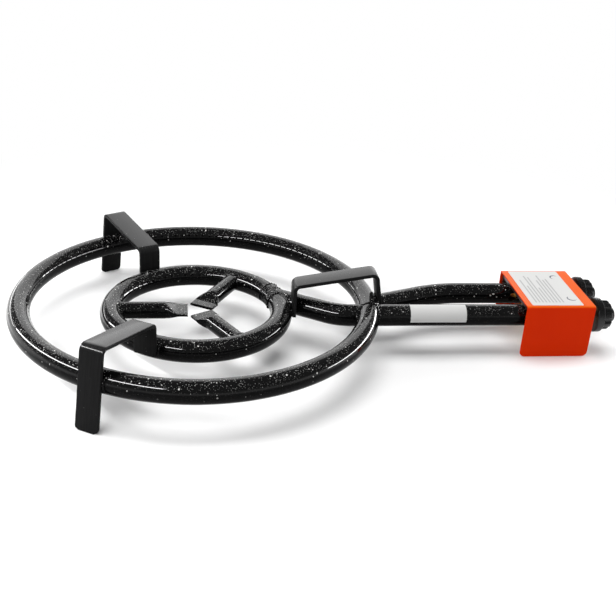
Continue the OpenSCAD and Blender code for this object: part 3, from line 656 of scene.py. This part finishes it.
def black_plastic():
    """Moulded black plastic with a fine spark-eroded grain and a faint bloom. The index rib is painted."""
    made, tree, shader = finish("knob_black", Specular_IOR_Level=0.4)
    grain = wear(tree, PEEL, Waves_per_metre=900)
    bloom = blend(tree, grain["Tone"], plastic_dark, plastic_pale)
    place = node(tree, "SeparateXYZ", {0: node(tree, "TexCoord").outputs["Object"]}).outputs
    aside = math_node(tree, "SUBTRACT", math_node(tree, "ABSOLUTE", place["Y"]), handle_y)
    knob_low, knob_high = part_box("front_knob")
    face = knob_low[0] + face_x
    paint = all_of(tree, math_node(tree, "LESS_THAN", math_node(tree, "ABSOLUTE", aside), index_half),
                   math_node(tree, "GREATER_THAN", place["X"], face + 0.4 * index_h),
                   math_node(tree, "LESS_THAN", place["X"], face + 1.1 * index_h),
                   math_node(tree, "GREATER_THAN", place["Z"], knob_high[2] - index_in))
    tree.links.new(blend(tree, paint, bloom, index_pale), shader.inputs["Base Color"])
    dull(tree, shader, grain["Tone"], 0.2, 0.34)
    relief(tree, shader, grain["Height"], 0.3, 0.08 * MM)
    return made


PLASTIC = black_plastic()
for side in ("front", "rear"):
    mesh = skin(f"fluted_knob_{side}", fluted_knob(side), angle=32)
    piece(mesh, PLASTIC, f"{side}_control", "knob_black", f"{side}_knob")

# Gas train. Brass taps on a brass rail, with injectors that blow into the feed tubes and a threaded
# hose inlet through the rear panel. Turned, milled and left bare under the cover.
inlet_shank_r, inlet_bore_r, inlet_floor = 4.5 * MM, 3 * MM, 3 * MM
inlet_hex_l, inlet_hex_in, inlet_hex_out = 6 * MM, 12 * MM, 13.9 * MM
inlet_thread_r, inlet_thread_l = 10 * MM, 12 * MM
inlet_pitch, inlet_groove = 1.6 * MM, 0.9 * MM
brass_dark, brass_pale = (0.55, 0.36, 0.12, 1), (0.78, 0.58, 0.26, 1)


def brass():
    """Bare brass: fine marks from the tool and a thin uneven brown tarnish."""
    made, tree, shader = finish("brass", Metallic=1.0)
    place = node(tree, "TexCoord").outputs["Object"]
    fine = node(tree, "TexNoise", {"Vector": place, "Scale": 1500.0, "Detail": 2.0}).outputs["Fac"]
    stain = node(tree, "TexNoise", {"Vector": place, "Scale": 60.0, "Detail": 5.0}).outputs["Fac"]
    tree.links.new(blend(tree, stain, brass_dark, brass_pale), shader.inputs["Base Color"])
    dull(tree, shader, stain, 0.42, 0.22)
    relief(tree, shader, fine, 0.15, 0.05 * MM)
    return made


def thread(length, pitch, groove, turn):
    """Places along a screw thread, and how deep it is cut there: a groove that moves one pitch along for each
    turn and runs out at both ends."""
    along = np.linspace(0, length, int(8 * length / pitch))[:, None]
    ridge = np.abs((along / pitch - turn / (2 * np.pi)) % 1 - 0.5) * 2
    lead = np.clip(np.minimum(along, length - along) / (0.75 * pitch), 0, 1)
    return along[:, 0], groove * (1 - ridge * lead)


def hose_nipple():
    """A turned outline along Y. On the hexagon, the least of a chamfer circle and the flats. Then the thread,
    and back down the bore."""
    low, high = (np.array(corner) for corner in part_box("hose_inlet"))
    x0, z0 = (low[0] + high[0]) / 2, (low[2] + high[2]) / 2
    panel = high[1] - inlet_hex_l - inlet_thread_l
    turn = np.linspace(0, 2 * np.pi, 120, endpoint=False)[None, :]
    flat = inlet_hex_in / np.cos((turn + np.pi / 6) % (np.pi / 3) - np.pi / 6)
    hexagon = np.linspace(0, inlet_hex_l, 13)[:, None]
    past = np.maximum(np.abs(hexagon - inlet_hex_l / 2) - 0.35 * inlet_hex_l, 0)
    nut = np.minimum(flat, inlet_hex_out - 1.6 * past)
    along, cut = thread(inlet_thread_l, inlet_pitch, inlet_groove, turn)
    shank = np.full((2, turn.size), inlet_shank_r)
    bore = np.full((2, turn.size), inlet_bore_r)
    radius = np.concatenate([shank, nut, inlet_thread_r - cut, bore])
    y = np.concatenate([[low[1], panel], panel + hexagon[:, 0], panel + inlet_hex_l + along,
                        [high[1], low[1] + inlet_floor]])[:, None]
    return np.stack([x0 + radius * np.sin(turn), np.broadcast_to(y, radius.shape),
                     z0 + radius * np.cos(turn)], axis=-1)


BRASS = brass()
dress(BRASS, "gas_rail", "rail_end_plug", "front_tap_body", "rear_tap_body", "front_injector",
      "rear_injector", "front_plug", "rear_plug", "front_bonnet", "rear_bonnet")
piece(skin("hose_nipple", hose_nipple(), angle=35), BRASS, "burner", "brass", "hose_inlet")

# Small steel parts. The bridge that carries the cover, the cover screws, and each tap's stem and return
# spring. Pressed, turned or wound, then zinc plated. The screws have domed heads with a slot.
shank_r, screw_pitch, screw_groove = 2 * MM, 0.7 * MM, 0.4 * MM
head_r, head_l, head_rim = 4 * MM, 2.6 * MM, 1.2 * MM
slot_half, slot_deep = 0.6 * MM, 1.2 * MM
wire_r, coil_turns = 0.45 * MM, 4.5


def zinc(name, dark, pale):
    """Zinc-plated steel: a cloudy bloom between a dark and a pale grey."""
    made, tree, shader = finish(name, Metallic=1.0)
    place = node(tree, "TexCoord").outputs["Object"]
    cloud = node(tree, "TexNoise", {"Vector": place, "Scale": 130.0, "Detail": 6.0}).outputs["Fac"]
    tree.links.new(blend(tree, cloud, dark, pale), shader.inputs["Base Color"])
    dull(tree, shader, cloud, 0.30, 0.48)
    return made


def slotted_screw(z):
    """A threaded shank along Y, then a head whose rings shrink as they climb a dome. A straight slot is
    pressed into the dome, along X."""
    low, high = (np.array(corner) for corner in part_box("cover_screws"))
    x0, panel = (low[0] + high[0]) / 2, cover_high[1]
    turn = np.linspace(0, 2 * np.pi, 120, endpoint=False)[None, :]
    along, cut = thread(panel - low[1], screw_pitch, screw_groove, turn)
    climb = np.linspace(0.97, 0.02, 44)
    rim = np.concatenate([np.ones(5), climb])[:, None]
    dome = head_rim + (head_l - head_rim) * (1 - climb ** 2)
    rise = np.concatenate([np.linspace(0, head_rim, 5), dome])[:, None]
    x, h = head_r * rim * np.cos(turn), head_r * rim * np.sin(turn)
    slot = ease((slot_half - np.abs(h)) / (0.3 * slot_half)) * (rim < 0.99)
    head = np.stack([x0 + x, panel + rise - np.minimum(slot_deep, rise) * slot, z + h], axis=-1)
    radius = shank_r - cut
    shank = np.stack([x0 + radius * np.cos(turn), np.broadcast_to(low[1] + along[:, None], radius.shape),
                      z + radius * np.sin(turn)], axis=-1)
    return np.concatenate([shank, head])


def coil(side):
    """A round wire carried along a helix about the stem, from the plug to the stem's collar."""
    low, high = (np.array(corner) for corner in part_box(f"{side}_spring"))
    y0, z0 = (low[1] + high[1]) / 2, (low[2] + high[2]) / 2
    t = np.linspace(0, coil_turns * 2 * np.pi, int(36 * coil_turns))[:, None]
    b = np.linspace(0, 2 * np.pi, 12, endpoint=False)[None, :]
    x = low[0] + wire_r + (high[0] - low[0] - 2 * wire_r) * t / t[-1] + wire_r * np.sin(b)
    r = (high[1] - low[1]) / 2 - wire_r + wire_r * np.cos(b)
    return np.stack([x, y0 + r * np.cos(t), z0 + r * np.sin(t)], axis=-1)


ZINC = zinc("zinc_steel", (0.44, 0.45, 0.47, 1), (0.66, 0.67, 0.68, 1))
SPRING = zinc("spring_steel", (0.30, 0.30, 0.31, 1), (0.50, 0.50, 0.51, 1))
dress(ZINC, "front_stem", "rear_stem")
dress(zinc("bridge_steel", (0.07, 0.07, 0.075, 1), (0.16, 0.16, 0.165, 1)), "cover_bridge")
for side in ("front", "rear"):
    mesh = skin(f"coil_{side}", coil(side))
    spring = piece(mesh, SPRING, f"{side}_valve", "spring_steel", f"{side}_spring")
    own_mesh(spring)
low, high = (np.array(corner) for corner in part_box("cover_screws"))
for title, z in (("lower", low[2] + head_r), ("upper", high[2] - head_r)):
    piece(skin(f"screw_{title}", slotted_screw(z), angle=50), ZINC, "burner", "zinc_steel", "cover_screws")

# Labels. Two pale films, stuck on after the paint. One fills most of the cover's top and is printed with
# plain ruled bars and a swelling arc for each tap. The other wraps the front feed tube and is bare.
film_low, film_high = (np.array(corner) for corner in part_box("cover_label"))
film_r = 1.5 * MM
bars_start, bars_end, bars_per_film, bar_wide = 0.1, 0.7, 15, 0.42
bar_start, bar_least, bar_more = 0.08, 0.5, 0.4
arc_r, arc_hole_r, arc_shift, arc_in = 5.5 * MM, 5.1 * MM, 1.0 * MM, 8 * MM
paper_dark, paper_pale = (0.56, 0.56, 0.555, 1), (0.70, 0.70, 0.69, 1)
bar_grey, arc_blue = (0.20, 0.20, 0.21, 1), (0.05, 0.06, 0.10, 1)


def span_node(tree, value, start, end):
    """Where a value lies between start and end: 0 at start, 1 at end, and on past both."""
    span = {"Value": value, "From Min": start, "From Max": end}
    return node(tree, "MapRange", span, clamp=False).outputs[0]


def distance_node(tree, a, b):
    """The square root of the sum of two squares."""
    squares = math_node(tree, "ADD", math_node(tree, "MULTIPLY", a, a), math_node(tree, "MULTIPLY", b, b))
    return math_node(tree, "SQRT", squares)


def printed_film():
    """Satin white film with a paper tooth. Grey bars of random length and two dark crescents, each a disc
    less a shifted disc, are printed on it."""
    made, tree, shader = finish("label_pale")
    tooth = wear(tree, PEEL, Waves_per_metre=1300)
    place = node(tree, "SeparateXYZ", {0: node(tree, "TexCoord").outputs["Object"]}).outputs
    u = span_node(tree, place["X"], film_low[0], film_high[0])
    v = span_node(tree, place["Y"], film_low[1], film_high[1])
    bars = math_node(tree, "MULTIPLY", math_node(tree, "SUBTRACT", u, bars_start), bars_per_film)
    row = math_node(tree, "FLOOR", bars)
    length = node(tree, "TexWhiteNoise", {"W": row}, noise_dimensions="1D").outputs["Value"]
    bar_end = math_node(tree, "ADD", bar_least, math_node(tree, "MULTIPLY", length, bar_more))
    ink = all_of(tree, math_node(tree, "LESS_THAN", math_node(tree, "FRACT", bars), bar_wide),
                 math_node(tree, "GREATER_THAN", u, bars_start), math_node(tree, "LESS_THAN", u, bars_end),
                 math_node(tree, "GREATER_THAN", v, bar_start), math_node(tree, "LESS_THAN", v, bar_end))
    aside = math_node(tree, "SUBTRACT", math_node(tree, "ABSOLUTE", place["Y"]), handle_y)
    ahead = math_node(tree, "SUBTRACT", place["X"], film_high[0] - arc_in)
    disc = distance_node(tree, aside, ahead)
    hole = distance_node(tree, math_node(tree, "ADD", aside, arc_shift),
                         math_node(tree, "SUBTRACT", ahead, arc_shift))
    crescent = all_of(tree, math_node(tree, "LESS_THAN", disc, arc_r),
                      math_node(tree, "GREATER_THAN", hole, arc_hole_r))
    paper = blend(tree, tooth["Tone"], paper_dark, paper_pale)
    printed = blend(tree, math_node(tree, "MULTIPLY", ink, 0.55), paper, bar_grey)
    tree.links.new(blend(tree, crescent, printed, arc_blue), shader.inputs["Base Color"])
    dull(tree, shader, tooth["Tone"], 0.34, 0.5)
    return made


def film_sheet():
    """A rectangle with round corners, as a thin plate."""
    size = film_high - film_low
    outline = rounded_rectangle(size[0], size[1], film_r) + (film_low[:2] + film_high[:2]) / 2
    return np.stack([np.column_stack([outline, np.full(len(outline), z)])
                     for z in (film_low[2], film_high[2])])


FILM = printed_film()
piece(skin("film_cover", film_sheet()), FILM, "burner", "label_pale", "cover_label")
dress(FILM, "tube_label")

# Studio. A pale floor that goes over into white, a world that is bright at the horizon, soft boxes above,
# behind and in front, narrow strips at the sides that draw lines on the gloss, and the camera.
floor_reach = 12.0
floor_seen, floor_stray = (0.95, 0.95, 0.95, 1), (0.36, 0.36, 0.36, 1)
fade_start, fade_end = 0.32, 0.75
floor = bpy.data.meshes.new("floor")
floor.from_pydata([(-floor_reach, -floor_reach, 0), (floor_reach, -floor_reach, 0),
                   (floor_reach, floor_reach, 0), (-floor_reach, floor_reach, 0)], [], [(0, 1, 2, 3)])
ground = bpy.data.objects.new("floor", floor)
bpy.context.scene.collection.objects.link(ground)


def seen(tree):
    """1 for rays that show the background: from the camera, or by way of gloss or glass."""
    path = node(tree, "LightPath").outputs
    direct = math_node(tree, "MAXIMUM", path["Is Camera Ray"], path["Is Glossy Ray"])
    return math_node(tree, "MAXIMUM", direct, path["Is Transmission Ray"])


def pale_floor():
    """White to the eye and grey to stray light. Away from the object it goes over into plain white."""
    made, tree, shader = finish("floor_pale", Roughness=0.9, Specular_IOR_Level=0.0)
    looked_at = seen(tree)
    tree.links.new(blend(tree, looked_at, floor_stray, floor_seen), shader.inputs["Base Color"])
    place = node(tree, "TexCoord").outputs["Object"]
    away = node(tree, "VectorMath", {0: place}, operation="LENGTH").outputs["Value"]
    fade = {"Value": away, "From Min": fade_start, "From Max": fade_end}
    far = node(tree, "MapRange", fade, interpolation_type="SMOOTHSTEP").outputs[0]
    white = node(tree, "Emission", {"Color": (1, 1, 1, 1), "Strength": 1.0})
    plain = math_node(tree, "MULTIPLY", far, looked_at)
    both = node(tree, "MixShader", {0: plain, 1: shader.outputs[0], 2: white.outputs[0]})
    tree.links.new(both.outputs[0], tree.nodes["Material Output"].inputs["Surface"])
    return made


floor.materials.append(pale_floor())

world = bpy.data.worlds.new("studio")
bpy.context.scene.world = world
world.use_nodes = True
sky = world.node_tree
height = node(sky, "SeparateXYZ", {0: node(sky, "TexCoord").outputs["Generated"]}).outputs["Z"]
horizon = {"Value": height, "From Min": 0.02, "From Max": 0.32, "To Min": 1.0, "To Max": 0.14}
glow = node(sky, "MapRange", horizon, interpolation_type="SMOOTHSTEP").outputs[0]
sky.nodes["Background"].inputs["Color"].default_value = (1, 1, 1, 1)
sky.links.new(glow, sky.nodes["Background"].inputs["Strength"])


def soft_box(name, place, aim, width, depth, radiance, along=(1, 0, 0)):
    """A rectangular lamp that faces a point, its width along a given direction. Its light grows with its
    area, so that it looks equally bright at any size."""
    lamp = bpy.data.lights.new(name, "AREA")
    lamp.shape = "RECTANGLE"
    lamp.size, lamp.size_y = width, depth
    lamp.energy = radiance * math.pi * width * depth
    back = (Vector(place) - Vector(aim)).normalized()
    side = (Vector(along) - Vector(along).dot(back) * back).normalized()
    facing = Matrix((side, back.cross(side), back)).transposed().to_4x4()
    made = bpy.data.objects.new(name, lamp)
    made.matrix_world = Matrix.Translation(place) @ facing
    bpy.context.scene.collection.objects.link(made)
    return made


soft_box("overhead", (0.0, 0.4, 1.9), (0, 0, 0), 1.6, 1.0, 5.0).visible_glossy = False
soft_box("strip_left", (-0.64, -0.14, 0.42), (-0.13, 0, 0.04), 1.28, 0.05, 30, along=(0.52, -1.12, 0.32))
soft_box("strip_far_left", (-0.86, 0.78, 0.17), (-0.2, 0, 0.04), 0.6, 0.06, 5, along=(0.3, 1, -0.06))
soft_box("strip_right", (1.0, 0.3, 0.22), (-0.2, 0.05, 0.04), 1.4, 0.09, 22, along=(-0.15, 1, 0))
soft_box("panel_back", (0.0, 1.75, 1.0), (0.0, 0, 0.05), 2.2, 1.3, 1.1)
soft_box("fill_front", (0.5, -1.25, 0.55), (0.2, 0, 0.03), 0.35, 0.25, 7).visible_glossy = False

camera_place = (-0.1552, -0.9398, 0.5082)
camera_lens = 55.6
yaw, pitch, roll = math.radians(8.73), math.radians(26.37), math.radians(3.81)
ahead = np.array([math.sin(yaw) * math.cos(pitch), math.cos(yaw) * math.cos(pitch), -math.sin(pitch)])
level = np.array([math.cos(yaw), -math.sin(yaw), 0])
upright = np.cross(level, ahead)
right = math.cos(roll) * level + math.sin(roll) * upright
up = math.cos(roll) * upright - math.sin(roll) * level
camera = bpy.data.objects.new("camera", bpy.data.cameras.new("camera"))
camera.data.lens = camera_lens
facing = Matrix(np.stack([right, up, -ahead], axis=1)).to_4x4()
camera.matrix_world = Matrix.Translation(camera_place) @ facing
bpy.context.scene.collection.objects.link(camera)
bpy.context.scene.camera = camera
bpy.context.scene.view_settings.view_transform = "Standard"
